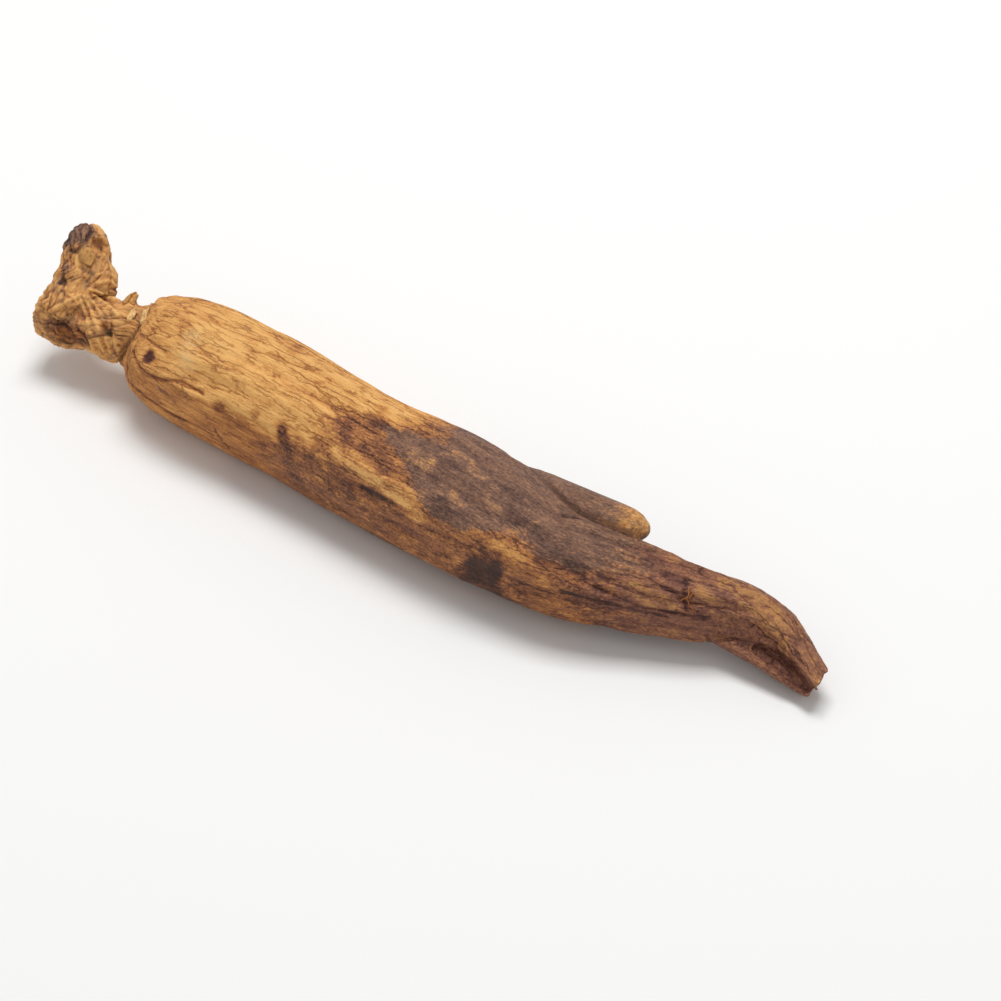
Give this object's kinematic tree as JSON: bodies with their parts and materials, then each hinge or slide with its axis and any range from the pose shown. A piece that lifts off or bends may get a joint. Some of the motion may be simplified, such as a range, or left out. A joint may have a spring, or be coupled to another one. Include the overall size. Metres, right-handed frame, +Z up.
{
  "type": "ginseng root",
  "caption": "Dried red ginseng root with a gnarled rhizome head, a thick furrowed body, a short side leg and a trimmed tail, lying on its flattened belly.",
  "frame": {"origin": "on the surface that the root lies on, below the middle of its box", "axes": "+X from the rhizome head to the tail, +Z up, +Y to the side of the short leg"},
  "size_m": [0.1558, 0.0262, 0.0229],
  "materials": {
    "root_skin": "dry matte bark, golden tan on the shoulder and dark brown to purple grey towards the tail"
  },
  "bodies": {
    "root": {"ginseng_root": "root_skin"}
  },
  "joints": []
}
